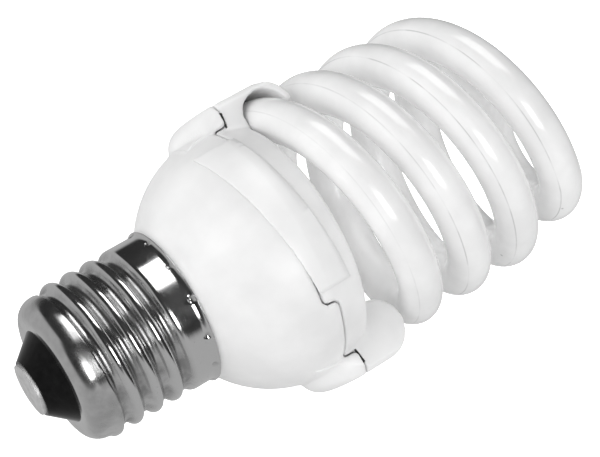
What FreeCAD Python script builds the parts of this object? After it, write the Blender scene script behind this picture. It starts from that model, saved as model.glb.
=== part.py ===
import FreeCAD, Part
import math
import os

# Spiral energy-saving bulb, hung cap up. Sizes in mm. The contact face is at the origin, the axis is Z,
# and a drop is a distance below the contact face.

# Cap
contact_radius = 4.4
contact_flat_radius = 3.2
contact_thickness = 0.5
contact_crown = 0.2
stem_radius = 1.2
stem_bore_radius = 0.55
insulator_tip_radius = 4.8
insulator_radius = 8.0
insulator_flange = 1.3
insulator_depth = 2.4
shell_wall = 0.35
shell_end_drop = 4.4
shell_radius = 13.1
shoulder_radius = 3.2
thread_pitch = 3.629
thread_depth = 1.1
thread_turns = 3.6
thread_draft = 0.04
thread_run_out = 0.3
shell_joint_angle = 37
rim_drop = 26.9
rim_height = 1.3
rim_flare = 0.5
skirt_height = 4.5
skirt_to_valley = 2.6

# Housing and cover
neck_length = 11.9
neck_clearance = 0.15
neck_wall = 1.4
housing_wall = 1.4
seam_radius = 22.25
bowl_height = 17.4
bowl_foot_gap = 1.15
collar_draft = 0.15
cover_height = 6.5
cover_taper = 2.25
cover_edge_round = 0.8
plate_thickness = 1.5
seam_gap = 0.15
side_seam_height = 5.8
front_seam_step = 2.65
latch_seam_step = 2.35
front_seam_half_width = 11.7
seam_round = 1.0

# Spiral tube
spiral_inset = 2.45
tube_radius = 3.62
spiral_lift = 2.6
spiral_lead = 20.5
arm_turns = 1.87
bridge_rise = 1.6
tube_leg = 4.5
cement_clearance = 0.05

# Collars
collar_clearance = 0.25
collar_wall = 1.25
collar_half_length = 8.0
collar_corner = 0.8
bore_overrun = 1.1
lead_window = 2.2
boss_round = 4.2
boss_foot_height = 5.5
boss_pocket_wall = 1.3
latch_width = 2.8
latch_height = 2.2
latch_rise = 0.45

# Label
label_thickness = 0.12
label_left = -9.6
label_right = 18.3
label_rise = 4.0
label_fall = 2.6
label_low_slope = 0.14
label_high_slope = 0.10

# Ballast
board_under_seam = 1.95
board_thickness = 1.6
board_clearance = 0.3
board_seat_width = 1.2
board_seat_depth = 2.4
spigot_wall = 1.1
spigot_clearance = 0.35
spigot_overlap = 1.6
bulk_radius = 5.0
bulk_height = 20.0
bulk_place = (4.5, 0.0)
choke_place = (-7.6, 0.0)
core_length = 13.0
core_width = 5.5
core_height = 9.0
core_yoke = 2.3
core_limb = 1.6
core_post = 2.8
core_lift = 0.5
bobbin_wall = 0.4
bobbin_flange = 0.6
bobbin_half_width = 4.8
winding_height = 0.9
toroid_place = (5.0, 11.5)
toroid_radius = 4.5
toroid_bore = 2.2
toroid_height = 4.0
drum_place = (10.0, -9.0)
drum_radius = 4.0
drum_waist = 3.3
drum_height = 6.0
drum_flange = 1.0
transistor_places = ((0.5, -12.5), (5.5, -14.0))
transistor_radius = 2.4
transistor_flat = 1.4
transistor_height = 5.2
start_capacitor_place = (-6.5, 10.5)
start_capacitor_size = (10.0, 4.5, 6.0)
coupling_capacitor_place = (-7.5, -10.5)
coupling_capacitor_size = (9.0, 4.5, 6.0)
diode_places = ((11.2, -0.5), (14.0, -0.5), (11.2, 5.6), (14.0, 5.6))
diode_radius = 1.3
diode_length = 5.2
resistor_places = ((-14.6, 5.0), (16.7, -2.8))
resistor_radius = 1.1
resistor_length = 6.0
fuse_place = (-4.0, 0.0)
fuse_radius = 1.7
fuse_rise = 8.9
fuse_length = 9.0
wire_radius = 0.4
lead_radius = 0.25
lead_stub = 0.8
lead_shares = (0.25, 0.6)
post_places = ((16.2, 3.0), (16.2, 7.0))
post_size = 0.8
post_height = 4.0
post_tail = 1.2

# Derived places
V = FreeCAD.Vector
axis = V(0, 0, 1)
centre = V(0, 0, 0)
reach = 2 * (seam_radius + collar_half_length)
skirt_drop = rim_drop - rim_height
thread_end_drop = rim_drop - skirt_height
valley_drop = thread_end_drop - skirt_to_valley
skirt_bore_radius = shell_radius - shell_wall
thread_bore_radius = skirt_bore_radius - thread_depth
neck_drop = rim_drop - neck_length
neck_radius = thread_bore_radius - neck_clearance
neck_seat_radius = skirt_bore_radius - neck_clearance
neck_bore_radius = neck_radius - neck_wall
collar_rim_radius = shell_radius + rim_flare - shell_wall
spiral_radius = seam_radius - spiral_inset
cover_edge_radius = seam_radius - cover_taper
collar_foot_radius = collar_rim_radius + collar_draft
bowl_width = seam_radius - collar_foot_radius
bowl_arc = (bowl_width ** 2 + (bowl_height - bowl_foot_gap) ** 2) / (2 * bowl_width)
bowl_centre_radius = seam_radius - bowl_arc
bowl_centre_drop = rim_drop + bowl_height
cover_drop = bowl_centre_drop + cover_height
side_seam_drop = cover_drop - side_seam_height
front_seam_drop = side_seam_drop - front_seam_step
latch_seam_drop = side_seam_drop + latch_seam_step
boss_drop = side_seam_drop - boss_foot_height
spiral_start_drop = cover_drop + spiral_lift
label_low_drop = side_seam_drop - label_rise
label_high_drop = side_seam_drop + label_fall
board_drop = front_seam_drop - board_under_seam
fuse_top_drop = rim_drop - fuse_rise
board_top_drop = board_drop + board_thickness
plate_drop = cover_drop - plate_thickness
bore_radius = tube_radius + collar_clearance
hood_radius = bore_radius + collar_wall
boss_radius = spiral_radius + hood_radius
climb = math.atan(spiral_lead / (2 * math.pi * spiral_radius))
arm_angle = 2 * math.pi * arm_turns


def at(radius, drop):
    return V(radius, 0, -drop)


def polygon(points):
    return Part.makePolygon(list(points) + [points[0]])


def chain(*items):
    """Closed wire from points, where a pair of points is an arc through the first to the second."""
    edges = []
    last = items[0]
    for item in items[1:] + (items[0],):
        if isinstance(item, tuple):
            edges.append(Part.Arc(last, item[0], item[1]).toShape())
            last = item[1]
        else:
            edges.append(Part.LineSegment(last, item).toShape())
            last = item
    return Part.Wire(edges)


def turned(wire):
    return Part.Face(wire).revolve(centre, axis, 360)


def prism(wire, along):
    return Part.Face(wire).extrude(along)


def block(x_low, x_high, y_low, y_high, drop_low, drop_high):
    size = (x_high - x_low, y_high - y_low, drop_high - drop_low)
    return Part.makeBox(*size, V(x_low, y_low, -drop_high))


def post(place, radius, drop_low, drop_high):
    return Part.makeCylinder(radius, drop_high - drop_low, V(*place, -drop_high), axis)


def half_turn(shape):
    turned_copy = shape.copy()
    turned_copy.rotate(centre, axis, 180)
    return turned_copy


def joined(shapes):
    first = shapes[0]
    return first.fuse(shapes[1:]).removeSplitter() if len(shapes) > 1 else first


def wire_run(points, radius):
    """Round wire through the points, with a ball at each bend."""
    pieces = []
    for start, end in zip(points, points[1:]):
        pieces.append(Part.makeCylinder(radius, (end - start).Length, start, end - start))
    pieces += [Part.makeSphere(radius, bend) for bend in points[1:-1]]
    return joined(pieces)


def bowl_at(drop, inset=0.0):
    arc = bowl_arc - inset
    return bowl_centre_radius + math.sqrt(arc ** 2 - (bowl_centre_drop - drop) ** 2)


def bowl_drop_at(radius, inset=0.0):
    arc = bowl_arc - inset
    return bowl_centre_drop - math.sqrt(arc ** 2 - (radius - bowl_centre_radius) ** 2)


# Cap


def make_contact():
    rim = at(contact_radius, contact_crown)
    crown = at((contact_flat_radius + contact_radius) / 2, contact_crown * 0.3)
    base = contact_crown + contact_thickness
    stem_end = shell_end_drop + insulator_depth
    return turned(chain(
        at(0, 0), at(contact_flat_radius, 0), (crown, rim), at(contact_radius, base), at(stem_radius, base),
        at(stem_radius, stem_end), at(stem_bore_radius, stem_end), at(stem_bore_radius, base), at(0, base)))


def make_insulator():
    tip = contact_crown + contact_thickness
    under = shell_end_drop + shell_wall
    end = shell_end_drop + insulator_depth
    return turned(polygon([
        at(stem_radius, tip), at(insulator_tip_radius, tip), at(insulator_radius, shell_end_drop),
        at(insulator_radius, under), at(insulator_radius + insulator_flange, under),
        at(insulator_radius + insulator_flange, end), at(stem_radius, end)]))


def thread_groove():
    """Valley of the round thread, right-handed, which starts in the shoulder and ends above the skirt."""
    quarter = thread_pitch / 4
    arc = (quarter ** 2 + (thread_depth / 2) ** 2) / thread_depth
    middle = shell_radius - thread_depth + arc
    helix = Part.makeHelix(thread_pitch, thread_pitch * thread_turns, middle)
    helix.rotate(centre, axis, -360 * thread_run_out)
    helix.translate(V(0, 0, -valley_drop - thread_pitch * thread_run_out))
    first = helix.Edges[0]
    start = first.valueAt(first.FirstParameter)
    section = Part.makeCircle(arc, start, first.tangentAt(first.FirstParameter))
    return Part.Wire(helix.Edges).makePipeShell([Part.Wire([section])], True, True)


def make_shell():
    bend = math.sqrt(0.5)
    shoulder = shell_radius - shoulder_radius
    shoulder_drop = shell_end_drop + shoulder_radius
    inner = shoulder_radius - shell_wall
    turn = math.asin((thread_bore_radius - shoulder) / inner)
    rim = shell_radius + rim_flare
    plain = turned(chain(
        at(insulator_radius, shell_end_drop), at(shoulder, shell_end_drop),
        (at(shoulder + bend * shoulder_radius, shoulder_drop - bend * shoulder_radius),
         at(shell_radius, shoulder_drop)),
        at(shell_radius - thread_draft, thread_end_drop - thread_depth / 2), at(shell_radius, thread_end_drop),
        at(shell_radius, skirt_drop), at(rim, rim_drop), at(rim - shell_wall, rim_drop),
        at(skirt_bore_radius, skirt_drop), at(skirt_bore_radius, thread_end_drop),
        at(thread_bore_radius, thread_end_drop - thread_depth),
        at(thread_bore_radius, shoulder_drop - inner * math.cos(turn)),
        (at(shoulder + inner * math.sin(turn / 2), shoulder_drop - inner * math.cos(turn / 2)),
         at(shoulder, shell_end_drop + shell_wall)),
        at(insulator_radius, shell_end_drop + shell_wall)))
    plain.rotate(centre, axis, shell_joint_angle)
    return plain.cut(thread_groove())


# Housing and cover, moulded to one outline and parted at a stepped seam


def body_outline(grown=0.0):
    foot = bowl_drop_at(collar_foot_radius, -grown)
    middle = (foot + bowl_centre_drop) / 2
    return turned(chain(
        at(0, neck_drop), at(neck_radius, neck_drop),
        at(neck_radius, thread_end_drop - thread_depth + 2 * neck_clearance),
        at(neck_seat_radius, thread_end_drop + 2 * neck_clearance), at(neck_seat_radius, rim_drop),
        at(collar_rim_radius, rim_drop), at(collar_foot_radius, foot),
        (at(bowl_at(middle, -grown), middle), at(seam_radius + grown, bowl_centre_drop)),
        at(cover_edge_radius + cover_edge_round + grown, cover_drop - cover_edge_round),
        at(cover_edge_radius + grown, cover_drop), at(0, cover_drop)))


def body_hollow():
    foot = bowl_drop_at(neck_bore_radius, housing_wall)
    middle = (foot + bowl_centre_drop) / 2
    return turned(chain(
        at(0, neck_drop), at(neck_bore_radius, neck_drop), at(neck_bore_radius, foot),
        (at(bowl_at(middle, housing_wall), middle), at(seam_radius - housing_wall, bowl_centre_drop)),
        at(cover_edge_radius - housing_wall, plate_drop), at(0, plate_drop)))


def tangent_place(along):
    """Point on the straight start of the tube, counted from the start of the spiral towards its mouth."""
    return V(spiral_radius, -along, -(spiral_start_drop + along * math.tan(climb)))


def tangent_way():
    return V(0, -math.cos(climb), -math.sin(climb))


def hood_up():
    """Square to the start of the tube, towards the cap."""
    return V(0, -math.sin(climb), math.cos(climb))


def collar_hood():
    """Round-topped tunnel along the start of the tube, with flat sides that run down to the boss."""
    start = tangent_place(-2 * collar_half_length)
    side = V(hood_radius, 0, 0)
    leg = hood_up() * (spiral_start_drop - side_seam_drop)
    top = start - hood_up() * hood_radius
    section = chain(start - side, (top, start + side), start + side + leg, start - side + leg)
    return prism(section, tangent_way() * (4 * collar_half_length))


def boss():
    """Hood and rounded foot, trimmed to the boss's plan."""
    corner = boss_radius - boss_round
    bend = math.sqrt(0.5) * boss_round
    inner = corner - boss_round
    foot_drop = boss_drop + boss_round
    outline = chain(
        at(inner, boss_drop), at(corner, boss_drop),
        (at(corner + bend, foot_drop - bend), at(boss_radius, foot_drop)),
        at(boss_radius, plate_drop), at(inner, plate_drop))
    foot = prism(outline, V(0, 2 * collar_half_length, 0))
    foot.translate(V(0, -collar_half_length, 0))
    half = collar_half_length
    cut = collar_corner
    inside = spiral_radius - hood_radius - cut
    plan = polygon([
        V(inside, -half, 0), V(boss_radius - cut, -half, 0), V(boss_radius, cut - half, 0),
        V(boss_radius, half - cut, 0), V(boss_radius - cut, half, 0), V(inside, half, 0)])
    plan.translate(V(0, 0, -2 * cover_drop))
    return collar_hood().fuse(foot).common(prism(plan, V(0, 0, 2 * cover_drop)))


def collar_bore():
    """Bore for the end of the tube, and the way that its first bend leaves the open side of the hood."""
    end = tangent_place(-tube_leg - bore_overrun)
    bore = Part.makeCylinder(bore_radius, 4 * collar_half_length, end, tangent_way())
    bend_angle = 2 * collar_half_length / spiral_radius
    way_out = V(-math.sin(bend_angle), -math.cos(bend_angle), -math.tan(climb))
    turn = tube_sweep([arm_place(bend_angle * step / 6) for step in range(7)], bore_radius, way_out)
    mouth = block(spiral_radius - 2 * hood_radius, spiral_radius, -2 * collar_half_length, -collar_wall,
                  cover_drop, spiral_start_drop + 2 * hood_radius)
    return joined([bore, turn, mouth])


def lead_opening():
    """Way for the wires from the closed end of the bore into the hollow under the cover."""
    return block(spiral_radius - bore_radius, spiral_radius, tube_leg - lead_window, tube_leg + bore_overrun,
                 latch_seam_drop, spiral_start_drop)


def seam_region(gap, housing_side):
    """Everything on one side of the stepped seam, which is higher beside the bosses and at the latches."""
    step = seam_radius - housing_wall - gap
    half = front_seam_half_width - gap
    r = seam_round
    low = front_seam_drop + gap
    side = side_seam_drop + gap
    latch = latch_seam_drop + gap
    bend = r * (1 - math.sqrt(0.5))
    far = -neck_drop / 2 if housing_side else 4 * cover_drop
    points = [
        at(-reach, far), at(reach, far), at(reach, latch), at(step, latch), at(step, side),
        at(half + r, side),
        (at(half + bend, side - bend), at(half, side - r)), at(half, low + r),
        (at(half - bend, low + bend), at(half - r, low)), at(r - half, low),
        (at(bend - half, low + bend), at(-half, low + r)), at(-half, side - r),
        (at(-half - bend, side - bend), at(-half - r, side)), at(-step, side), at(-step, latch),
        at(-reach, latch)]
    region = prism(chain(*points), V(0, 2 * reach, 0))
    region.translate(V(0, -reach, 0))
    return region


def latch_ramp(side):
    """Sloped latch head on one face of a boss's lower half."""
    face = side * collar_half_length
    root = face - side * latch_rise
    tip = face + side * latch_rise
    start = boss_radius - collar_corner - latch_width
    section = polygon([
        V(start, root, -latch_seam_drop), V(start, tip, -latch_seam_drop),
        V(start, face, latch_height - latch_seam_drop), V(start, root, latch_height - latch_seam_drop)])
    return prism(section, V(latch_width, 0, 0))


def boss_pocket():
    half = collar_half_length - boss_pocket_wall
    return block(spiral_radius - hood_radius, boss_radius - boss_pocket_wall, -half, half,
                 boss_drop + boss_pocket_wall + boss_round / 2, latch_seam_drop)


def board_seat():
    seat = bowl_at(board_drop, housing_wall) - board_clearance - board_seat_width
    low = board_drop - board_seat_depth
    overlap = housing_wall / 4
    return turned(polygon([
        at(seat, board_drop), at(bowl_at(board_drop, housing_wall) + overlap, board_drop),
        at(bowl_at(low, housing_wall) + overlap, low), at(bowl_at(low, housing_wall), low)]))


def make_body():
    bosses = [boss(), half_turn(boss())]
    return body_outline().fuse(bosses).removeSplitter()


def make_housing(body):
    hollow = [body_hollow(), boss_pocket(), half_turn(boss_pocket())]
    lower = body.common(seam_region(0.0, True)).cut(hollow)
    ramps = [latch_ramp(side) for side in (-1, 1)]
    ramps += [half_turn(ramp) for ramp in ramps]
    return lower.fuse(ramps + [board_seat()]).removeSplitter()


def make_cover(body):
    bore = joined([collar_bore(), lead_opening()])
    upper = body.common(seam_region(seam_gap, False)).cut(body_hollow())
    outer = bowl_at(board_top_drop, housing_wall) - spigot_clearance
    end = side_seam_drop + spigot_overlap
    spigot = turned(polygon([
        at(outer - spigot_wall, board_top_drop), at(outer, board_top_drop), at(outer, end),
        at(outer - spigot_wall, end)]))
    return upper.fuse(spigot).cut([bore, half_turn(bore)]).removeSplitter()


# Spiral tube


def arm_place(angle):
    return V(spiral_radius * math.cos(angle), -spiral_radius * math.sin(angle),
             -(spiral_start_drop + spiral_lead * angle / (2 * math.pi)))


def bridge_place(angle):
    """Half of the bridge, a semicircle from the end of an arm to the axis, which sinks a little more."""
    radius = spiral_radius * math.cos(angle)
    around = arm_angle + angle
    drop = spiral_start_drop + spiral_lead * arm_turns + bridge_rise * math.sin(angle)
    return V(radius * math.cos(around), -radius * math.sin(around), -drop)


def tube_sweep(points, radius, way_out):
    spine = Part.BSplineCurve()
    spine.interpolate(Points=points, InitialTangent=tangent_way(), FinalTangent=way_out)
    section = Part.Wire([Part.makeCircle(radius, points[0], tangent_way())])
    return Part.Wire([spine.toShape()]).makePipeShell([section], True, False)


def make_tube():
    """Two equal halves, each a straight leg, an arm and half the bridge, that meet on the axis."""
    legs = [tangent_place(-tube_leg), tangent_place(-tube_leg / 2)]
    arm_steps = round(arm_turns * 16)
    arm = [arm_place(arm_angle * step / arm_steps) for step in range(arm_steps)]
    bridge_steps = 8
    bridge = [bridge_place(math.pi / 2 * step / bridge_steps) for step in range(bridge_steps + 1)]
    across = V(math.sin(arm_angle), math.cos(arm_angle), 0)
    half = tube_sweep(legs + arm + bridge, tube_radius, across)
    return half.fuse(half_turn(half)).removeSplitter()


def make_cement():
    start = tangent_place(-tube_leg)
    length = tube_leg - collar_wall
    ring = Part.makeCylinder(bore_radius, length, start, tangent_way())
    ring = ring.cut(Part.makeCylinder(tube_radius + cement_clearance, length, start, tangent_way()))
    return Part.makeCompound([ring, half_turn(ring)])


# Label


def make_label():
    corners = [
        at(label_left, label_low_drop - label_low_slope * label_left),
        at(label_left, label_high_drop - label_high_slope * label_left),
        at(label_right, label_high_drop - label_high_slope * label_right),
        at(label_right, label_low_drop - label_low_slope * label_right)]
    strip = prism(polygon(corners), V(0, -reach, 0))
    return body_outline(label_thickness).cut(body_outline()).common(strip)


# Ballast


def make_board():
    board = post((0, 0), bowl_at(board_drop, housing_wall) - board_clearance, board_drop, board_top_drop)
    holes = [post_pin(place, 0) for place in post_places]
    holes += [half_turn(hole) for hole in holes]
    return board.cut(holes)


def post_pin(place, lift):
    half = post_size / 2
    return block(place[0] - half, place[0] + half, place[1] - half, place[1] + half,
                 board_drop - post_tail, board_top_drop + post_height + lift)


def make_posts():
    posts = [post_pin(place, 0) for place in post_places]
    return Part.makeCompound(posts + [half_turn(pin) for pin in posts])


def make_bulk_capacitor():
    return post(bulk_place, bulk_radius, board_drop - bulk_height, board_drop)


def core_frame():
    x, y = choke_place
    low = board_drop - core_lift - core_height
    return x, y, low, low + core_height


def make_choke_core():
    x, y, top, bottom = core_frame()
    half = core_length / 2
    window = (core_height - core_post) / 2 - core_limb
    solid = block(x - core_width / 2, x + core_width / 2, y - half, y + half, top, bottom)
    inner = half - core_yoke
    through = (x - core_width, x + core_width, y - inner, y + inner)
    windows = [
        block(*through, top + core_limb, top + core_limb + window),
        block(*through, bottom - core_limb - window, bottom - core_limb)]
    return solid.cut(windows)


def sleeve(grow, y_low, y_high):
    """Box round the core's middle post, grown evenly."""
    x, y, top, bottom = core_frame()
    middle = (top + bottom) / 2
    half_width = core_width / 2 + grow
    half_height = core_post / 2 + grow
    return block(x - half_width, x + half_width, y + y_low, y + y_high,
                 middle - half_height, middle + half_height)


def make_bobbin():
    x, y, top, bottom = core_frame()
    inner = core_length / 2 - core_yoke
    flanges = [
        block(x - bobbin_half_width, x + bobbin_half_width, y + low, y + low + bobbin_flange,
              top + core_limb, board_drop)
        for low in (-inner, inner - bobbin_flange)]
    tube = sleeve(bobbin_wall, -inner, inner)
    return joined([tube] + flanges).cut(make_choke_core())


def make_winding():
    inner = core_length / 2 - core_yoke - bobbin_flange
    outer = sleeve(bobbin_wall + winding_height, -inner, inner)
    return outer.cut(sleeve(bobbin_wall, -inner, inner))


def make_toroid():
    ring = post(toroid_place, toroid_radius, board_drop - toroid_height, board_drop)
    return ring.cut(post(toroid_place, toroid_bore, board_drop - toroid_height, board_drop))


def make_filter_choke():
    top = board_drop - drum_height
    return joined([
        post(drum_place, drum_radius, top, top + drum_flange),
        post(drum_place, drum_waist, top + drum_flange, board_drop - drum_flange),
        post(drum_place, drum_radius, board_drop - drum_flange, board_drop)])


def make_transistors():
    bodies = []
    for x, y in transistor_places:
        round_body = post((x, y), transistor_radius, board_drop - transistor_height, board_drop)
        keep = block(x - transistor_radius, x + transistor_radius, y - transistor_radius, y + transistor_flat,
                     board_drop - transistor_height, board_drop)
        bodies.append(round_body.common(keep))
    return Part.makeCompound(bodies)


def film_capacitor(place, size):
    x, y = place
    length, width, height = size
    return block(x - length / 2, x + length / 2, y - width / 2, y + width / 2, board_drop - height, board_drop)


def lying_parts(places, radius, length):
    bodies = []
    for x, y in places:
        start = V(x, y - length / 2, radius - board_drop)
        bodies.append(Part.makeCylinder(radius, length, start, V(0, 1, 0)))
    return Part.makeCompound(bodies)


def make_fuse():
    return post(fuse_place, fuse_radius, fuse_top_drop, fuse_top_drop + fuse_length)


def make_live_lead():
    fuse_end = fuse_top_drop + fuse_length
    x, y = fuse_place
    board_x = choke_place[0] + bobbin_half_width + 2 * wire_radius + 1.0
    board_y = core_length / 2 + 2 * wire_radius
    turn_drop = fuse_end + 2.5
    lower = wire_run([
        V(board_x, board_y, -board_drop), V(board_x, board_y, -turn_drop),
        V(x, y, 1.2 - turn_drop), V(x, y, -fuse_end)], wire_radius)
    stem_end = shell_end_drop + insulator_depth
    upper = wire_run([
        V(x, y, -fuse_top_drop), V(x, y, 1.5 - fuse_top_drop), V(0, 0, -(stem_end + 3.0)),
        V(0, 0, -(contact_crown + contact_thickness))], wire_radius)
    return Part.makeCompound([lower, upper])


def make_neutral_lead():
    board_x = choke_place[0] + bobbin_half_width + 2 * wire_radius + 1.0
    board_y = -(core_length / 2 + 2 * wire_radius)
    run = neck_bore_radius - 3 * wire_radius
    end_drop = neck_drop - 2 * wire_radius
    turn_drop = board_drop - core_lift - core_height - 2 * wire_radius
    return wire_run([
        V(board_x, board_y, -board_drop), V(board_x, board_y, -turn_drop), V(-run, 0, 5.0 - turn_drop),
        V(-run, 0, -end_drop), V(-thread_bore_radius, 0, -end_drop)], wire_radius)


def make_filament_leads():
    end = tangent_place(-tube_leg)
    behind = tangent_way() * (-bore_overrun / 2)
    under = hood_up() * (tube_radius + lead_stub)
    leads = []
    for (x, y), share in zip(post_places, lead_shares):
        start = end - V(share * tube_radius, 0, 0)
        top = V(x, y, -(board_top_drop + post_height))
        leads.append(wire_run([
            start, start + behind, start + behind + under, top - V(0, 0, lead_stub), top], lead_radius))
    return Part.makeCompound(leads + [half_turn(lead) for lead in leads])


body = make_body()
nodes = {
    "screw_shell": make_shell(),
    "cap_insulator": make_insulator(),
    "centre_contact": make_contact(),
    "lower_housing": make_housing(body),
    "upper_cover": make_cover(body),
    "spiral_tube": make_tube(),
    "tube_cement": make_cement(),
    "rating_label": make_label(),
    "circuit_board": make_board(),
    "wrap_posts": make_posts(),
    "bulk_capacitor": make_bulk_capacitor(),
    "choke_core": make_choke_core(),
    "choke_bobbin": make_bobbin(),
    "choke_winding": make_winding(),
    "drive_toroid": make_toroid(),
    "filter_choke": make_filter_choke(),
    "switching_transistors": make_transistors(),
    "start_capacitor": film_capacitor(start_capacitor_place, start_capacitor_size),
    "coupling_capacitor": film_capacitor(coupling_capacitor_place, coupling_capacitor_size),
    "rectifier_diodes": lying_parts(diode_places, diode_radius, diode_length),
    "base_resistors": lying_parts(resistor_places, resistor_radius, resistor_length),
    "fuse_resistor": make_fuse(),
    "live_lead": make_live_lead(),
    "neutral_lead": make_neutral_lead(),
    "filament_leads": make_filament_leads(),
}

os.makedirs("parts", exist_ok=True)
for name, shape in nodes.items():
    shape.exportStep("parts/" + name + ".step")
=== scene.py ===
import math

import bpy
from mathutils import Matrix, Vector


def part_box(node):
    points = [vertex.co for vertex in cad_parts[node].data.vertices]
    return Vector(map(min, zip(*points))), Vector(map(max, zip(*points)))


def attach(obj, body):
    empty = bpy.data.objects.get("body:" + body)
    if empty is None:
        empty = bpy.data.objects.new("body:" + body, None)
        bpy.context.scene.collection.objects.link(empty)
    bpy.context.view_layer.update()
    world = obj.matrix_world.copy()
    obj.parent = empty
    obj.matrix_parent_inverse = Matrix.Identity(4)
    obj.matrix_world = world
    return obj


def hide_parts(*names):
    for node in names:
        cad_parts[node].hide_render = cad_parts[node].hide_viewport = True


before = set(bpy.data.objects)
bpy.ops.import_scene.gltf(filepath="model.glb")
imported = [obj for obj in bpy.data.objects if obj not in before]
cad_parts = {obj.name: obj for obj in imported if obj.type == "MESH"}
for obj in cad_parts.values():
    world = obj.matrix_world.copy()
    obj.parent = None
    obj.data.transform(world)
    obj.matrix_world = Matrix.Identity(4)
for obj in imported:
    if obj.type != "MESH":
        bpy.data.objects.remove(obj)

bl_info = {
    "name": "Spiral Bulb",
    "version": (1, 0, 0),
    "blender": (4, 5, 0),
    "location": "3D View > Sidebar > Spiral Bulb",
    "description": "Dresses the solids of a spiral energy-saving bulb and lights them in a small studio",
    "category": "Object",
}

MM = 0.001
AXIS = Vector((0.0, 0.0, 1.0))
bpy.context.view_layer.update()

# Fineness of the meshes: steps round a piece, and rows or steps along its stretches
SHELL_STEPS = 576
EYE_ROWS = 4
SHOULDER_ROWS = 12
THREAD_ROWS = 80
SKIRT_ROWS = 8
FLARE_ROWS = 20
INSIDE_STRIDE = 4
TUBE_STEPS = 80
LEG_STEPS = 8
ARM_STEPS = 220
BRIDGE_STEPS = 40
WELD_GAP = 0.001 * MM

# Where the tube's fine line fades on the bridge: shares of the spiral's radius, and the distance in
# millimetres by which it is moved off there
LINE_FADE_START = 0.7
LINE_FADE = 0.25
LINE_AWAY = 3.0


def node_reach(node):
    """Reach of a solid along +X from the axis, and its least and greatest drop."""
    low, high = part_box(node)
    return high.x, -high.z, -low.z


SHELL_RIM_RADIUS, SHELL_TOP_DROP, SHELL_RIM_DROP = node_reach("screw_shell")
BOSS_REACH = node_reach("upper_cover")[0]


def length(name, description, default_mm):
    return bpy.props.FloatProperty(
        name=name, description=description, default=default_mm * MM, unit="LENGTH", precision=5)


def angle(name, description, default_deg):
    return bpy.props.FloatProperty(
        name=name, description=description, default=math.radians(default_deg), unit="ROTATION")


def colour(name, description, grey):
    return bpy.props.FloatVectorProperty(
        name=name, description=description, default=(grey, grey, grey, 1.0), size=4, min=0.0, max=1.0,
        subtype="COLOR")


def number(name, description, default):
    return bpy.props.FloatProperty(name=name, description=description, default=default)


def count(name, description, default):
    return bpy.props.IntProperty(name=name, description=description, default=default, min=1)


class BulbCapSettings(bpy.types.PropertyGroup):
    thread_radius: length("Thread radius", "Outside radius of the rolled thread", 13.1)
    thread_pitch: length("Thread pitch", "Rise of the thread in one turn", 3.629)
    thread_depth: length("Thread depth", "Depth of the rolled thread", 1.1)
    thread_valley: length("Thread place", "Drop of one valley of the thread on the +X side", 19.79)
    thread_before: number("Turns before", "Turns of the groove from its start to that valley", 3.38)
    thread_after: number("Turns after", "Turns of the groove from that valley to its end", 0.66)
    thread_fade: number("Thread run-out", "Turns over which the groove fades at its ends", 0.24)
    thread_end: length("Thread end", "Drop where the plain skirt starts", 22.4)
    draw_in: length("Drawn-in end", "How far the shell is drawn in before the groove starts", 0.62)
    shoulder: length("Shoulder", "Radius of the rounded end of the shell", 3.2)
    eye_radius: length("Eye radius", "Radius of the shell's opening for the black glass", 8.0)
    skirt_drop: length("Skirt end", "Drop where the skirt starts to flare", 25.6)
    flare_curve: number("Flare curve", "Power of the curve by which the rim flares out", 2.5)
    wall: length("Sheet", "Thickness of the sheet that the shell is rolled from", 0.35)
    punch_count: count("Punch marks", "Number of punch marks round the skirt", 13)
    punch_angle: angle("Punch angle", "Angle of the first punch mark", -36.3)
    punch_drop: length("Punch drop", "Drop of the row of punch marks", 26.2)
    punch_radius: length("Punch radius", "Radius of a punch mark", 0.8)
    punch_depth: length("Punch depth", "Depth of a punch mark", 0.26)
    plating: colour("Plating", "Colour of the bright plating", 0.69)
    tarnish: colour("Tarnish", "Colour of the plating where dirt has stayed", 0.3)
    glass: colour("Black glass", "Colour of the insulator", 0.0015)
    contact: colour("Contact", "Colour of the contact's metal", 0.7)


class BulbTubeSettings(bpy.types.PropertyGroup):
    spiral_radius: length("Spiral radius", "Radius of the spiral's centre line", 19.8)
    tube_radius: length("Tube radius", "Outside radius of the glass tube", 3.62)
    start_drop: length("Spiral start", "Drop of the centre line where each arm starts", 53.4)
    lead: length("Lead", "Drop of an arm in one turn", 20.5)
    turns: number("Turns", "Turns of each arm", 1.87)
    bridge_drop: length("Bridge drop", "How much lower the bridge is than the ends of the arms", 1.6)
    leg: length("Leg", "Straight length of the tube in its collar", 4.5)
    # The fine line is a thin grey line painted along the tube, at this angle round it
    line_angle: angle("Line place", "Angle round the tube of the drawn glass's fine line", 40.5)
    line_width: length("Line width", "Width of the fine line", 0.14)
    coating: colour("Coating", "Colour of the white coating in the tube", 0.86)
    shade: colour("Coating shade", "Colour of the coating where it lies thinner", 0.79)
    line: colour("Line", "Colour of the fine line and of the specks", 0.52)
    cement: colour("Cement", "Colour of the cement round the ends of the tube", 0.74)


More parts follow.
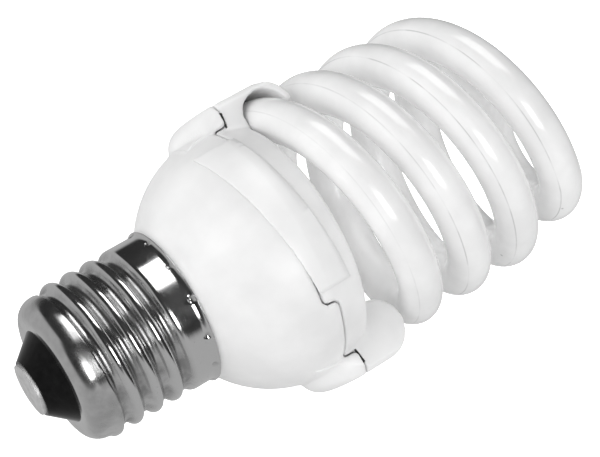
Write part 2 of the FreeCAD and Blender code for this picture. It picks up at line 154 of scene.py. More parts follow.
class BulbHousingSettings(bpy.types.PropertyGroup):
    plastic: colour("Plastic", "Colour of the moulded plastic", 0.83)
    plastic_shade: colour("Plastic shade", "Colour of the plastic where it has been handled", 0.76)
    edge_grid: length("Edge grid", "Size of the cells in which the moulded edges are rounded off", 0.4)
    edge_passes: count("Edge passes", "Number of times that the moulded edges are smoothed", 4)
    bowl_arc: length("Bowl arc", "Radius of the bowl's side in section", 19.34)
    bowl_reach: length("Bowl reach", "Radius of the bowl where it is widest", 22.25)
    bowl_drop: length("Bowl drop", "Drop where the bowl is widest", 44.3)
    foot_drop: length("Foot drop", "Drop where the round foot of a boss starts", 43.7)
    foot_round: length("Foot round", "Radius of the foot of a boss", 4.2)
    foot_back: length("Foot fall", "How much further from the cap the foot starts at a boss's sides", 5.4)
    foot_least: number("Foot least", "Least share of a boss's height that its rounded foot keeps", 0.12)
    slit_inner: length("Slit start", "Distance of a latch slit's inner end from the axis", 20.5)
    slit_outer: length("Slit end", "Distance of a latch slit's outer end from the axis", 23.35)
    slit_drop: length("Slit drop", "Drop of a latch slit behind its latch head", 47.65)
    slit_hook: length("Slit hook", "How far a latch slit turns back round the end of its latch head", 1.0)
    slit_slant: length("Slit slant", "How much higher a latch slit's inner end is", 0.4)
    slit_width: length("Slit width", "Width of a latch slit", 0.28)
    slit_proud: length("Slit front", "How far a latch slit's front lies before its boss's face", 0.03)
    boss_half: length("Boss half", "Distance of a boss's flat faces from its middle", 8.0)
    # Near-black colour of the strips in the latch slits: painted shade standing for the open slits in
    # shadow
    slit: colour("Slit", "Colour in the depth of a latch slit", 0.02)
    label: colour("Label", "Colour of the bare label", 0.84)
    label_shade: colour("Label shade", "Colour of the label's faint clouds", 0.81)
    label_crease: angle("Label crease", "Angle from which an edge of the label is sharp", 60.0)


class BulbStageSettings(bpy.types.PropertyGroup):
    eye: bpy.props.FloatVectorProperty(
        name="Eye", description="Place of the camera", default=(0.00066, -0.26323, 0.0488), size=3,
        subtype="TRANSLATION", unit="LENGTH")
    view_turn: angle("View turn", "Turn of the camera about its line of sight", -30.08601)
    view_tilt: angle("View tilt", "Angle by which the camera looks down", 21.06193)
    lens: number("Lens", "Focal length of the camera in millimetres", 102.0)
    floor_drop: length("Floor", "Drop of the floor below the contact face", 170.0)
    floor: colour("Floor colour", "Colour of the pale floor", 0.9)
    floor_half: length("Floor half", "Half of the floor's width", 3000.0)
    floor_glow: number("Floor glow", "Strength of the floor's own light, as on a light table", 0.9)
    key: number("Key light", "Power of the square light beside the camera", 1.0)
    overhead: number("Overhead light", "Power of the long light above the bulb", 1.1)
    fill: number("Fill light", "Power of the large soft light on the other side of the camera", 1.5)
    side: number("Side light", "Power of the soft light beside the spiral's end", 0.6)
    back: number("Back light", "Power of the soft light behind the bulb", 0.9)
    light_reach: length("Light distance", "Distance of the lights from the middle of the bulb", 500.0)
    middle_drop: length("Middle", "Drop of the place that the lights point at", 48.0)
    inner: number("Inner light", "Power of the soft light that the white glass lets in", 0.0011)
    inner_size: length("Inner size", "Radius of each soft light inside the spiral", 5.0)
    room_soft: number("Even light", "Strength of the room's even light on matt faces", 0.72)
    room_dark: number("Dark side", "Strength of the room's light on its dark side", 0.03)
    room_light: number("Light side", "Strength of the room's light on its light side", 0.5)
    room_seen: number("Backdrop", "Strength of the room's light as the camera sees it", 0.95)


# Finishes


class Finish:
    """A node material with a principled shader, built up from procedural patterns."""

    def __init__(self, name, **values):
        self.material = bpy.data.materials.new(name)
        self.material.use_nodes = True
        tree = self.material.node_tree
        self.nodes, self.links = tree.nodes, tree.links
        self.shader = self.nodes["Principled BSDF"]
        self.place = self.add("ShaderNodeTexCoord").outputs["Object"]
        for socket, value in values.items():
            self.feed(self.shader, socket.replace("_", " "), value)

    def feed(self, node, socket, value):
        if isinstance(value, bpy.types.NodeSocket):
            self.links.new(value, node.inputs[socket])
        else:
            node.inputs[socket].default_value = value

    def add(self, kind, inputs=None, **settings):
        node = self.nodes.new(kind)
        for name, value in settings.items():
            setattr(node, name, value)
        for socket, value in (inputs or {}).items():
            self.feed(node, socket, value)
        return node

    def stretched(self, x, y, z):
        """Object coordinates scaled by axis, for patterns that are drawn out one way."""
        return self.add("ShaderNodeMapping", {"Vector": self.place, "Scale": (x, y, z)}).outputs["Vector"]

    def noise(self, size, detail=4.0, place=None):
        """Cloudy pattern with clouds of about the given size."""
        inputs = {"Vector": place or self.place, "Scale": 1.0 / size, "Detail": detail}
        return self.add("ShaderNodeTexNoise", inputs).outputs["Fac"]

    def cells(self, size):
        """Distance to the nearest of points that lie about the given size apart."""
        inputs = {"Vector": self.place, "Scale": 1.0 / size}
        return self.add("ShaderNodeTexVoronoi", inputs).outputs["Distance"]

    def spread(self, value, low, high, to_low=0.0, to_high=1.0):
        inputs = {"Value": value, "From Min": low, "From Max": high, "To Min": to_low, "To Max": to_high}
        return self.add("ShaderNodeMapRange", inputs).outputs["Result"]

    def times(self, one, other):
        node = self.add("ShaderNodeMath", {0: one, 1: other}, operation="MULTIPLY")
        return node.outputs["Value"]

    def plus(self, one, other):
        node = self.add("ShaderNodeMath", {0: one, 1: other}, operation="ADD")
        return node.outputs["Value"]

    def either(self, one, other):
        node = self.add("ShaderNodeMath", {0: one, 1: other}, operation="MAXIMUM")
        return node.outputs["Value"]

    def mixed(self, share, one, other):
        node = self.add("ShaderNodeMix", {"Factor": share}, data_type="RGBA")
        for index, value in ((6, one), (7, other)):
            if isinstance(value, bpy.types.NodeSocket):
                self.links.new(value, node.inputs[index])
            else:
                node.inputs[index].default_value = tuple(value)
        return node.outputs[2]

    def stored(self, name):
        """A number kept on the mesh's points."""
        return self.add("ShaderNodeAttribute", attribute_name=name).outputs["Fac"]

    def paint(self, source):
        self.feed(self.shader, "Base Color", source)

    def gloss(self, pattern, smooth, rough):
        roughness = self.spread(pattern, low=0.3, high=0.7, to_low=smooth, to_high=rough)
        self.feed(self.shader, "Roughness", roughness)

    def relief(self, height, depth, strength=1.0):
        bump = self.add("ShaderNodeBump", {"Height": height, "Distance": depth, "Strength": strength})
        self.feed(self.shader, "Normal", bump.outputs["Normal"])


def toned(tone, share):
    """A colour made darker or lighter by a share."""
    return (*(share * channel for channel in tone[:3]), 1.0)


def cloudy(name, light, dark, cloud, smooth, rough, grain, depth, **values):
    """Finish with soft clouds between two tones, and a fine grain in its gloss and relief."""
    finish = Finish(name, **values)
    clouds = finish.spread(finish.noise(cloud), low=0.35, high=0.65)
    finish.paint(finish.mixed(clouds, tuple(light), tuple(dark)))
    fine = finish.noise(grain, detail=6.0)
    finish.gloss(fine, smooth, rough)
    finish.relief(fine, depth)
    return finish


def wear(node, finish):
    """Gives a carried-over solid its finish."""
    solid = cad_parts[node]
    solid.data.materials.clear()
    solid.data.materials.append(finish.material)


# Meshes


def add_piece(name, points, faces, finish, smooth=True):
    mesh = bpy.data.meshes.new(name)
    mesh.from_pydata(points, [], faces)
    mesh.update()
    piece = bpy.data.objects.new(name, mesh)
    bpy.context.scene.collection.objects.link(piece)
    dress(piece, finish, smooth)
    return piece


def dress(piece, finish, smooth=True):
    """Gives a piece its finish, on smooth or flat faces."""
    for face in piece.data.polygons:
        face.use_smooth = smooth
    piece.data.materials.clear()
    piece.data.materials.append(finish.material)


def welded_copy(node, name):
    """Copy of a solid's mesh with its faces joined along their edges."""
    piece = bpy.data.objects.new(name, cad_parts[node].data.copy())
    bpy.context.scene.collection.objects.link(piece)
    piece.modifiers.new("weld", "WELD").merge_threshold = WELD_GAP
    bake(piece)
    return piece


def bake(piece):
    """Makes a piece's modifiers part of its mesh."""
    shape = piece.evaluated_get(bpy.context.evaluated_depsgraph_get())
    piece.data = bpy.data.meshes.new_from_object(shape)
    piece.modifiers.clear()


def store(piece, name, values):
    """Keeps a number on each point of a piece, for its finish to read."""
    piece.data.attributes.new(name, "FLOAT", "POINT").data.foreach_set("value", values)


def ring_faces(rings, around, closed):
    """Quads between rings of points, also from the last to the first where the sheet closes on itself."""
    faces = []
    for ring in range(rings if closed else rings - 1):
        one, other = ring * around, (ring + 1) % rings * around
        for step in range(around):
            after = (step + 1) % around
            faces.append((one + step, one + after, other + after, other + step))
    return faces


def ease(share):
    """Smooth step from 0 to 1."""
    share = min(1.0, max(0.0, share))
    return share * share * (3.0 - 2.0 * share)


def knuckle(across, pitch, depth):
    """Depth of a round thread at a distance from the middle of a valley: arcs that meet half way."""
    quarter = pitch / 4.0
    arc = (quarter ** 2 + (depth / 2.0) ** 2) / depth
    across = abs((across + pitch / 2.0) % pitch - pitch / 2.0)
    if across <= quarter:
        return depth - arc + math.sqrt(arc ** 2 - across ** 2)
    rest = pitch / 2.0 - across
    return arc - math.sqrt(arc ** 2 - rest ** 2)


def shell_outline(cap):
    """Radius and drop of the plain shell from its eye to its rim, in even steps along each stretch."""
    shoulder = cap.thread_radius - cap.shoulder
    top = SHELL_TOP_DROP
    end_width = shoulder - cap.eye_radius
    rows = [(cap.eye_radius + end_width * step / EYE_ROWS, top) for step in range(EYE_ROWS)]
    for step in range(SHOULDER_ROWS):
        turn = math.pi / 2 * step / SHOULDER_ROWS
        rows.append((shoulder + cap.shoulder * math.sin(turn), top + cap.shoulder * (1 - math.cos(turn))))
    start = top + cap.shoulder
    for step in range(THREAD_ROWS):
        rows.append((cap.thread_radius, start + (cap.thread_end - start) * step / THREAD_ROWS))
    skirt = cap.skirt_drop - cap.thread_end
    for step in range(SKIRT_ROWS):
        rows.append((cap.thread_radius, cap.thread_end + skirt * step / SKIRT_ROWS))
    for step in range(FLARE_ROWS + 1):
        share = step / FLARE_ROWS
        flare = cap.thread_radius + (SHELL_RIM_RADIUS - cap.thread_radius) * share ** cap.flare_curve
        rows.append((flare, cap.skirt_drop + (SHELL_RIM_DROP - cap.skirt_drop) * share))
    return rows


def groove_depth(cap, turn, radius, drop):
    """Depth of the thread's groove at a place on the shell, or of the drawn-in end before its start."""
    around = turn / (2 * math.pi)
    across = drop - cap.thread_valley + cap.thread_pitch * around
    along = round(across / cap.thread_pitch) - around
    passed = math.floor(across / cap.thread_pitch) - around
    end = min(1.0, (radius - cap.eye_radius) / (cap.thread_radius - cap.eye_radius))
    deepest = cap.thread_depth * ease((cap.thread_after - along) / cap.thread_fade)
    drawn = cap.draw_in * end
    if along < 0.0:
        deepest = max(cap.thread_depth * ease((along + cap.thread_before) / cap.thread_fade), drawn)
    groove = deepest * knuckle(across, cap.thread_pitch, cap.thread_depth) / cap.thread_depth
    crest = ease((passed + cap.thread_before + cap.thread_fade) / (cap.thread_fade / 2))
    return max(groove, drawn * (1.0 - crest))


def punch_dent(cap, turn, drop):
    """How far a punch mark pushes the sheet in."""
    spacing = 2 * math.pi / cap.punch_count
    off = (turn - cap.punch_angle + spacing / 2) % spacing - spacing / 2
    gap = math.hypot(off * cap.thread_radius, drop - cap.punch_drop) / cap.punch_radius
    return cap.punch_depth * ease(1.0 - gap)


class BULB_OT_screw_shell(bpy.types.Operator):
    """Rolls the plated shell with its round thread and the row of punch marks in its skirt"""

    bl_idname = "bulb.screw_shell"
    bl_label = "Screw shell"

    def execute(self, context):
        cap = context.scene.bulb_cap
        outline = shell_outline(cap)
        inner = [row for row in outline if row[1] > SHELL_TOP_DROP][::INSIDE_STRIDE]
        rows = [(radius, drop, 0.0) for radius, drop in outline]
        rows += [(radius, drop, cap.wall) for radius, drop in reversed(inner)]
        rows.append((cap.eye_radius, SHELL_TOP_DROP + cap.wall, 0.0))
        points, depths = [], []
        for radius, drop, inset in rows:
            for step in range(SHELL_STEPS):
                turn = 2 * math.pi * step / SHELL_STEPS
                depth = groove_depth(cap, turn, radius, drop)
                dent = 0.0 if inset else punch_dent(cap, turn, drop)
                reach = radius - inset - depth - dent
                points.append((reach * math.cos(turn), reach * math.sin(turn), -drop))
                depths.append(min(1.0, depth / cap.thread_depth + dent / cap.punch_depth))
        faces = ring_faces(len(rows), SHELL_STEPS, closed=True)
        piece = add_piece("rolled_shell", points, faces, plated_finish(cap))
        store(piece, "hollow", depths)
        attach(piece, "root")
        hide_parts("screw_shell")
        return {"FINISHED"}


def plated_finish(cap):
    """Bright plating with lines from rolling, and dirt that stays in the thread."""
    finish = Finish("rolled_plating", Metallic=1.0)
    clouds = finish.noise(size=3.5 * MM, detail=5.0)
    dirt = finish.times(finish.stored("hollow"), finish.spread(clouds, low=0.35, high=0.6, to_low=0.2))
    spot_dirt = 0.35
    spots = finish.spread(finish.noise(size=0.5 * MM, detail=3.0), low=0.66, high=0.76)
    dirt = finish.either(dirt, finish.times(spots, spot_dirt))
    finish.paint(finish.mixed(dirt, tuple(cap.plating), tuple(cap.tarnish)))
    polish = finish.spread(clouds, low=0.3, high=0.7, to_low=0.1, to_high=0.2)
    dirt_roughness = 0.18
    finish.feed(finish.shader, "Roughness", finish.plus(polish, finish.times(dirt, dirt_roughness)))
    drawn_out = finish.stretched(x=0.04, y=0.04, z=1.0)
    rolling = finish.noise(size=0.16 * MM, detail=2.0, place=drawn_out)
    finish.relief(rolling, depth=0.012 * MM, strength=0.5)
    return finish


class BULB_OT_cap_end(bpy.types.Operator):
    """Finishes the black glass in the end of the cap, and the contact"""

    bl_idname = "bulb.cap_end"
    bl_label = "Cap end"

    def execute(self, context):
        cap = context.scene.bulb_cap
        glass = cloudy("black_glass", cap.glass, toned(cap.glass, share=3.0), cloud=1.2 * MM, smooth=0.03,
                       rough=0.07, grain=1.6 * MM, depth=0.03 * MM, Specular_IOR_Level=0.15)
        wear("cap_insulator", glass)
        metal = cloudy("dull_contact", cap.contact, toned(cap.contact, share=0.8), cloud=1.6 * MM,
                       smooth=0.45, rough=0.6, grain=0.25 * MM, depth=0.01 * MM, Metallic=0.7)
        wear("centre_contact", metal)
        return {"FINISHED"}


def foot_reach(housing, drop):
    """How far a boss stands out from the axis at a drop, or nothing before its foot."""
    rise = max(0.0, housing.foot_drop - drop)
    if rise > housing.foot_round:
        return 0.0
    return BOSS_REACH - housing.foot_round + math.sqrt(housing.foot_round ** 2 - rise ** 2)


def round_feet(housing, mesh):
    """Rounds the feet of the two bosses back into the bowl towards their sides."""
    for vertex in mesh.vertices:
        place, drop = vertex.co, -vertex.co.z
        share = min(1.0, abs(place.y) / housing.boss_half)
        rise = max(0.0, housing.bowl_drop - drop)
        arc_reach = math.sqrt(max(0.0, housing.bowl_arc ** 2 - rise ** 2))
        bowl = housing.bowl_reach - housing.bowl_arc + arc_reach
        skin = math.sqrt(max(0.0, bowl ** 2 - place.y ** 2))
        stands = foot_reach(housing, drop) - skin
        if stands <= 0.0 or abs(place.x) <= skin:
            continue
        fall = housing.foot_back * (1.0 - math.sqrt(1.0 - share ** 2))
        kept = max(housing.foot_least, (foot_reach(housing, drop - fall) - skin) / stands)
        place.x = math.copysign(skin + (abs(place.x) - skin) * kept, place.x)


def rounded_off(node, name, finish, housing):
    """Copy of a moulded solid whose edges are rounded off, as they come out of the tool."""
    piece = welded_copy(node, name)
    cells = piece.modifiers.new("cells", "REMESH")
    cells.mode, cells.voxel_size = "VOXEL", housing.edge_grid
    bake(piece)
    if node == "lower_housing":
        round_feet(housing, piece.data)
    smooth = piece.modifiers.new("smooth", "SMOOTH")
    smooth.factor, smooth.iterations = 0.5, housing.edge_passes
    bake(piece)
    dress(piece, finish)
    return piece


def painted_shade_strips(housing):
    """Points and faces of the near-black strips of painted shade in the slits behind the four latch heads,
    each with a hook at its outer end.
    """
    half, sink = housing.slit_width / 2, housing.slit_width
    inner, outer, low = housing.slit_inner, housing.slit_outer, -housing.slit_drop
    bend = outer - housing.slit_hook / 2
    # Outline of one slit on the face of its boss: distance from the axis, and height
    outline = [
        (inner, low + half + housing.slit_slant),
        (bend, low + half),
        (outer, low + half + housing.slit_hook),
        (outer + half, low + half + housing.slit_hook),
        (bend + half, low - half),
        (inner, low - half + housing.slit_slant)]
    points, faces = [], []
    for turned in (1.0, -1.0):
        for side in (1.0, -1.0):
            start, corners = len(points), len(outline)
            for depth in (housing.boss_half + housing.slit_proud, housing.boss_half - sink):
                points += [(turned * reach, side * depth, height) for reach, height in outline]
            front = tuple(range(start, start + corners))
            rings = [front, tuple(index + corners for index in reversed(front))]
            for step in range(corners):
                one, other = front[step], front[(step + 1) % corners]
                rings.append((other, one, one + corners, other + corners))
            flip = turned * side > 0.0
            faces += [ring[::-1] if flip else ring for ring in rings]
    return points, faces


class BULB_OT_housing(bpy.types.Operator):
    """Finishes the moulded housing and its cover in white plastic"""

    bl_idname = "bulb.housing"
    bl_label = "Housing and cover"

    def execute(self, context):
        housing = context.scene.bulb_housing
        for node, name in (("lower_housing", "moulded_bowl"), ("upper_cover", "moulded_cover")):
            plastic = cloudy("white_" + name, housing.plastic, housing.plastic_shade, cloud=9.0 * MM,
                             smooth=0.3, rough=0.42, grain=0.22 * MM, depth=0.006 * MM,
                             Specular_IOR_Level=0.45, IOR=1.49, Subsurface_Weight=0.3,
                             Subsurface_Radius=(1.0, 1.0, 1.0), Subsurface_Scale=1.5 * MM)
            piece = rounded_off(node, name, plastic, housing)
            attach(piece, "root")
            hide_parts(node)
        # Near-black strips set just before the faces of the bosses: painted shade where the open latch
        # slits lie in shadow
        shade = cloudy("painted_slit_shade", housing.slit, toned(housing.slit, share=0.4), cloud=0.8 * MM,
                       smooth=0.6, rough=0.8, grain=0.3 * MM, depth=0.02 * MM)
        slits = add_piece("painted_shade_strips", *painted_shade_strips(housing), shade, smooth=False)
        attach(slits, "root")
        return {"FINISHED"}


def spiral_line(tube):
    """Centre line of the tube from one end to the other: legs, arms, and the bridge between them."""
    full = 2 * math.pi * tube.turns
    sink = tube.lead / (2 * math.pi)
    slope = sink / tube.spiral_radius
    line = []
    for step in range(LEG_STEPS):
        along = tube.leg * (step - LEG_STEPS) / LEG_STEPS
        line.append(Vector((tube.spiral_radius, -along, -(tube.start_drop + along * slope))))
    for step in range(ARM_STEPS):
        turn = full * step / ARM_STEPS
        line.append(Vector((
            tube.spiral_radius * math.cos(turn), -tube.spiral_radius * math.sin(turn),
            -(tube.start_drop + sink * turn))))
    for step in range(BRIDGE_STEPS + 1):
        bend = math.pi / 2 * step / BRIDGE_STEPS
        radius = tube.spiral_radius * math.cos(bend)
        turn = full + bend
        drop = tube.start_drop + tube.lead * tube.turns + tube.bridge_drop * math.sin(bend)
        line.append(Vector((radius * math.cos(turn), -radius * math.sin(turn), -drop)))
    other = [Vector((-point.x, -point.y, point.z)) for point in reversed(line[:-1])]
    return line + other


class BULB_OT_spiral_tube(bpy.types.Operator):
    """Draws the double spiral tube as one glass piece, with its coating, its fine line and its cement"""

    bl_idname = "bulb.spiral_tube"
    bl_label = "Spiral tube"

    def execute(self, context):
        tube = context.scene.bulb_tube
        line = spiral_line(tube)
        last = len(line) - 1
        points, gaps, runs = [], [], []
        run = 0.0
        for index, middle in enumerate(line):
            before, after = line[max(0, index - 1)], line[min(last, index + 1)]
            way = (after - before).normalized()
            side = way.cross(AXIS).normalized()
            rise = side.cross(way)
            out = Vector((middle.x, middle.y, 0.0))
            on_arm = ease((out.length / tube.spiral_radius - LINE_FADE_START) / LINE_FADE)
            line_turn = tube.line_angle if out.dot(side) >= 0.0 else math.pi - tube.line_angle
            run += (middle - before).length
            for step in range(TUBE_STEPS):
                turn = 2 * math.pi * step / TUBE_STEPS
                points.append(middle + tube.tube_radius * (math.cos(turn) * side + math.sin(turn) * rise))
                off = (turn - line_turn + math.pi) % (2 * math.pi) - math.pi
                gaps.append(abs(off) * tube.tube_radius / MM + LINE_AWAY * (1.0 - on_arm))
                runs.append(run / MM)
        faces = ring_faces(len(line), TUBE_STEPS, closed=False)
        faces.append(tuple(range(TUBE_STEPS)))
        faces.append(tuple(range(last * TUBE_STEPS, (last + 1) * TUBE_STEPS))[::-1])
        piece = add_piece("glass_spiral", points, faces, coated_glass(tube))
        store(piece, "line_gap", gaps)
        store(piece, "run", [min(along, runs[-1] - along) for along in runs])
        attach(piece, "root")
        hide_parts("spiral_tube")
        cement = cloudy("chalky_cement", tube.cement, toned(tube.cement, share=0.85), cloud=1.5 * MM,
                        smooth=0.8, rough=0.95, grain=0.3 * MM, depth=0.05 * MM)
        wear("tube_cement", cement)
        return {"FINISHED"}


def coated_glass(tube):
    """Clear gloss over a white coating, with a fine grey line along the tube and a few dark specks."""
    finish = Finish("coated_glass", IOR=1.5, Coat_Weight=0.35, Coat_Roughness=0.14, Subsurface_Weight=0.35,
                    Subsurface_Radius=(1.0, 1.0, 1.0), Subsurface_Scale=2.5 * MM)
    clouds = finish.spread(finish.noise(size=7.0 * MM), low=0.35, high=0.65)
    coating = finish.mixed(clouds, tuple(tube.coating), tuple(tube.shade))
    run = finish.stored("run")
    width = tube.line_width / MM
    core = 0.4 * width
    line = finish.spread(finish.stored("line_gap"), low=width, high=core)
    # The line is broken here and there, and fainter towards the ends of the tube
    worn = finish.add("ShaderNodeTexNoise", {"W": run, "Scale": 0.12, "Detail": 3.0}, noise_dimensions="1D")
    kept = finish.spread(worn.outputs["Fac"], low=0.38, high=0.58, to_low=0.1, to_high=0.75)
    line = finish.times(line, kept)
    line = finish.times(line, finish.spread(run, low=60.0, high=120.0, to_low=0.35))
    specks = finish.spread(finish.cells(size=7.0 * MM), low=0.045, high=0.03)
    finish.paint(finish.mixed(finish.either(line, specks), coating, tuple(tube.line)))
    finish.gloss(finish.noise(size=0.8 * MM, detail=3.0), smooth=0.14, rough=0.22)
    finish.relief(finish.noise(size=4.0 * MM, detail=2.0), depth=0.03 * MM, strength=0.3)
    return finish


class BULB_OT_label(bpy.types.Operator):
    """Finishes the bare label that lies round the seam"""

    bl_idname = "bulb.label"
    bl_label = "Label"

    def execute(self, context):
        housing = context.scene.bulb_housing
        film = cloudy("bare_film", housing.label, housing.label_shade, cloud=4.0 * MM, smooth=0.28,
                      rough=0.38, grain=0.6 * MM, depth=0.003 * MM, Specular_IOR_Level=0.4)
        label = welded_copy("rating_label", "bare_label")
        dress(label, film)
        label.data.set_sharp_from_angle(angle=housing.label_crease)
        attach(label, "root")
        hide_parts("rating_label")
        return {"FINISHED"}


# Finish, the nodes that have it, its light and dark tone, its roughness and its share of metal
INNER_FINISHES = (
    ("laminate_board", ("circuit_board",), (0.42, 0.30, 0.14), (0.33, 0.22, 0.09), 0.45, 0.0),
    ("tinned_wire", ("wrap_posts", "filament_leads"), (0.66, 0.65, 0.62), (0.45, 0.44, 0.42), 0.3, 1.0),
    ("capacitor_sleeve", ("bulk_capacitor",), (0.03, 0.05, 0.04), (0.015, 0.02, 0.02), 0.3, 0.0),
    ("grey_ferrite", ("choke_core", "drive_toroid"), (0.07, 0.07, 0.075), (0.04, 0.04, 0.045), 0.6, 0.0),
    ("bobbin_plastic", ("choke_bobbin",), (0.10, 0.10, 0.10), (0.07, 0.07, 0.07), 0.45, 0.0),
    ("wound_copper", ("choke_winding",), (0.55, 0.24, 0.10), (0.36, 0.14, 0.06), 0.28, 1.0),
    ("drum_coil", ("filter_choke",), (0.08, 0.08, 0.09), (0.05, 0.05, 0.05), 0.5, 0.0),
    ("black_resin", ("switching_transistors", "rectifier_diodes"),
     (0.02, 0.02, 0.02), (0.035, 0.035, 0.035), 0.5, 0.0),
    ("film_capacitor", ("start_capacitor", "coupling_capacitor"),
     (0.40, 0.07, 0.04), (0.28, 0.05, 0.03), 0.25, 0.0),
    ("resistor_coat", ("base_resistors", "fuse_resistor"),
     (0.48, 0.36, 0.22), (0.38, 0.27, 0.16), 0.4, 0.0),
    ("wire_sleeve", ("live_lead", "neutral_lead"), (0.30, 0.30, 0.31), (0.22, 0.22, 0.23), 0.4, 0.0),
)
# Shares of an inner finish's roughness where it is smoothest and roughest
SMOOTHEST = 0.8
ROUGHEST = 1.2


class BULB_OT_ballast(bpy.types.Operator):
    """Finishes the board, the components and the wires inside the housing"""

    bl_idname = "bulb.ballast"
    bl_label = "Ballast"

    def execute(self, context):
        for name, nodes, light, dark, rough, metal in INNER_FINISHES:
            for node in nodes:
                finish = cloudy(name + "." + node, (*light, 1.0), (*dark, 1.0), cloud=1.2 * MM,
                                smooth=rough * SMOOTHEST, rough=rough * ROUGHEST, grain=0.2 * MM,
                                depth=0.02 * MM, Metallic=metal)
                wear(node, finish)
        return {"FINISHED"}


# Stage


def view_axes(stage):
    """Right, up and forward of the camera: hung level, tilted down and turned about its line of sight."""
    turn, tilt = stage.view_turn, stage.view_tilt
    right = Vector((math.sin(turn), -math.sin(tilt) * math.cos(turn), -math.cos(tilt) * math.cos(turn)))
    up = Vector((math.cos(turn), math.sin(tilt) * math.sin(turn), math.cos(tilt) * math.sin(turn)))
    forward = Vector((0.0, math.cos(tilt), -math.sin(tilt)))
    return right, up, forward


def add_camera(stage):
    right, up, forward = view_axes(stage)
    data = bpy.data.cameras.new("camera")
    data.lens, data.sensor_width, data.sensor_fit = stage.lens, 36.0, "HORIZONTAL"
    data.clip_start, data.clip_end = 0.01, 100.0
    camera = bpy.data.objects.new("camera", data)
    turn = Matrix((right, up, -forward)).transposed().to_4x4()
    camera.matrix_world = Matrix.Translation(Vector(stage.eye)) @ turn
    bpy.context.scene.collection.objects.link(camera)
    bpy.context.scene.camera = camera


def add_light(name, place, target, size, power):
    data = bpy.data.lights.new(name, "AREA")
    data.shape, data.size, data.size_y, data.energy = "RECTANGLE", size[0], size[1], power
    light = bpy.data.objects.new(name, data)
    turn = (target - place).to_track_quat("-Z", "Y").to_matrix().to_4x4()
    light.matrix_world = Matrix.Translation(place) @ turn
    bpy.context.scene.collection.objects.link(light)
    return light


# Heights of the inner lights, as shares of the spiral's height
INNER_HEIGHTS = (0.35, 0.55, 0.75)


def add_inner_lights(stage):
    """Soft lights on the axis inside the spiral, for what its white glass lets through."""
    low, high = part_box("spiral_tube")
    for height in INNER_HEIGHTS:
        data = bpy.data.lights.new("inner_light", "POINT")
        data.energy, data.shadow_soft_size = stage.inner, stage.inner_size
        light = bpy.data.objects.new("inner_light", data)
        light.location = (0.0, 0.0, low.z + (high.z - low.z) * height)
        light.visible_glossy = light.visible_camera = False
        bpy.context.scene.collection.objects.link(light)


# Limits of the room's dark parts, as cosines of the angle from their middle: full light to full dark
ABOVE_LIMITS = (0.08, 0.22)
NEAR_LIMITS = (0.66, 0.8)


def studio_room(stage, above, near):
    """Room that polished faces mirror as dark above and near the camera, before a plain pale backdrop."""
    world = bpy.data.worlds.new("studio")
    world.use_nodes = True
    nodes, links = world.node_tree.nodes, world.node_tree.links
    place = nodes.new("ShaderNodeTexCoord")

    def facing(way, low, high):
        """1 where the room lies away from a direction, 0 where it lies along it."""
        along = nodes.new("ShaderNodeVectorMath")
        along.operation = "DOT_PRODUCT"
        along.inputs[1].default_value = way
        links.new(place.outputs["Generated"], along.inputs[0])
        share = nodes.new("ShaderNodeMapRange")
        share.interpolation_type = "SMOOTHSTEP"
        for socket, value in (("From Min", low), ("From Max", high), ("To Min", 1.0), ("To Max", 0.0)):
            share.inputs[socket].default_value = value
        links.new(along.outputs["Value"], share.inputs["Value"])
        return share.outputs["Result"]

    both = nodes.new("ShaderNodeMath")
    both.operation = "MULTIPLY"
    links.new(facing(above, *ABOVE_LIMITS), both.inputs[0])
    links.new(facing(near, *NEAR_LIMITS), both.inputs[1])
    room = nodes.new("ShaderNodeMix")
    room.inputs["A"].default_value, room.inputs["B"].default_value = stage.room_dark, stage.room_light
    links.new(both.outputs["Value"], room.inputs["Factor"])
    path = nodes.new("ShaderNodeLightPath")
    mirrored = nodes.new("ShaderNodeMix")
    mirrored.inputs["A"].default_value = stage.room_soft
    links.new(path.outputs["Is Glossy Ray"], mirrored.inputs["Factor"])
    links.new(room.outputs["Result"], mirrored.inputs["B"])
    seen = nodes.new("ShaderNodeMix")
    seen.inputs["B"].default_value = stage.room_seen
    links.new(path.outputs["Is Camera Ray"], seen.inputs["Factor"])
    links.new(mirrored.outputs["Result"], seen.inputs["A"])
    links.new(seen.outputs["Result"], nodes["Background"].inputs["Strength"])
    nodes["Background"].inputs["Color"].default_value = (1.0, 1.0, 1.0, 1.0)
    return world


def add_floor(stage):
    """Pale floor that glows like a light table and neither lights nor shades the bulb."""
    half, ground = stage.floor_half, -stage.floor_drop
    finish = cloudy("pale_floor", stage.floor, stage.floor, cloud=200.0 * MM, smooth=0.75, rough=0.85,
                    grain=4.0 * MM, depth=0.02 * MM, Emission_Color=(1.0, 1.0, 1.0, 1.0),
                    Emission_Strength=stage.floor_glow)
    corners = [(-half, -half, ground), (half, -half, ground), (half, half, ground), (-half, half, ground)]
    floor = add_piece("floor", corners, [(0, 1, 2, 3)], finish, smooth=False)
    floor.visible_diffuse = floor.visible_glossy = floor.visible_shadow = False


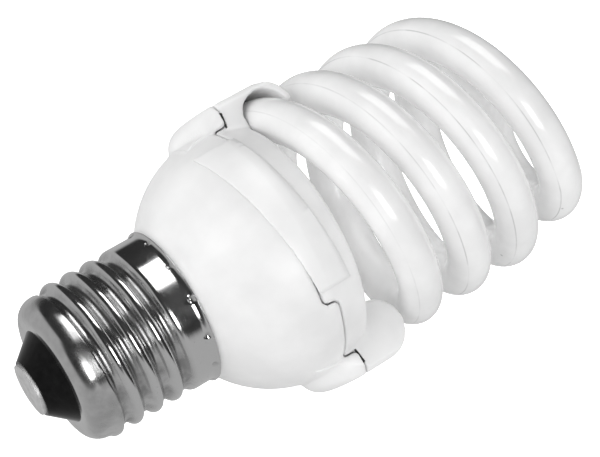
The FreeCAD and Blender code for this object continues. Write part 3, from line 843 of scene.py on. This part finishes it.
class BULB_OT_stage(bpy.types.Operator):
    """Lays the pale floor and sets up the camera and the studio lights"""

    bl_idname = "bulb.stage"
    bl_label = "Stage"

    def execute(self, context):
        stage = context.scene.bulb_stage
        add_camera(stage)
        right, up, forward = view_axes(stage)
        middle = Vector((0.0, 0.0, -stage.middle_drop))

        def way(sideways, upward, nearer):
            """A direction from the bulb as the camera sees it: to the right, up and towards the camera."""
            return sideways * right + upward * up - nearer * forward

        # Name, direction, size in metres, power, and whether it is mirrored or only lights matt faces
        spots = (
            ("key_light", way(0.34, -0.15, 0.93), (0.2, 0.2), stage.key, True),
            ("overhead_light", way(0.12, 0.9, 0.4), (0.38, 0.3), stage.overhead, True),
            ("fill_light", way(-0.6, -0.05, 0.8), (0.5, 0.5), stage.fill, False),
            ("side_light", way(0.9, -0.25, 0.2), (0.4, 0.4), stage.side, False),
            ("back_light", way(-0.1, 0.2, -0.95), (0.5, 0.5), stage.back, False))
        for name, direction, size, power, mirrored in spots:
            light = add_light(name, middle + stage.light_reach * direction, middle, size, power)
            light.visible_glossy, light.visible_diffuse = mirrored, not mirrored
        add_inner_lights(stage)
        add_floor(stage)
        context.scene.world = studio_room(stage, way(0.44, 0.86, 0.26).normalized(), -forward)
        context.scene.view_settings.view_transform = "Standard"
        return {"FINISHED"}


OPERATORS = (
    BULB_OT_screw_shell, BULB_OT_cap_end, BULB_OT_housing, BULB_OT_spiral_tube, BULB_OT_label,
    BULB_OT_ballast, BULB_OT_stage)
SETTINGS = (
    ("bulb_cap", BulbCapSettings),
    ("bulb_tube", BulbTubeSettings),
    ("bulb_housing", BulbHousingSettings),
    ("bulb_stage", BulbStageSettings))


class BULB_PT_sidebar(bpy.types.Panel):
    """Lists the steps that dress the bulb, and their settings"""

    bl_idname = "BULB_PT_sidebar"
    bl_label = "Spiral Bulb"
    bl_space_type = "VIEW_3D"
    bl_region_type = "UI"
    bl_category = "Spiral Bulb"

    def draw(self, context):
        for operator in OPERATORS:
            self.layout.operator(operator.bl_idname)
        for name, group in SETTINGS:
            box = self.layout.box()
            for setting in group.__annotations__:
                box.prop(getattr(context.scene, name), setting)


def register():
    for name, group in SETTINGS:
        bpy.utils.register_class(group)
        setattr(bpy.types.Scene, name, bpy.props.PointerProperty(type=group))
    for operator in OPERATORS:
        bpy.utils.register_class(operator)
    bpy.utils.register_class(BULB_PT_sidebar)


def unregister():
    bpy.utils.unregister_class(BULB_PT_sidebar)
    for operator in reversed(OPERATORS):
        bpy.utils.unregister_class(operator)
    for name, group in reversed(SETTINGS):
        delattr(bpy.types.Scene, name)
        bpy.utils.unregister_class(group)


def main():
    register()
    bpy.ops.bulb.screw_shell()
    bpy.ops.bulb.cap_end()
    bpy.ops.bulb.housing()
    bpy.ops.bulb.spiral_tube()
    bpy.ops.bulb.label()
    bpy.ops.bulb.ballast()
    bpy.ops.bulb.stage()


if __name__ == "__main__":
    main()
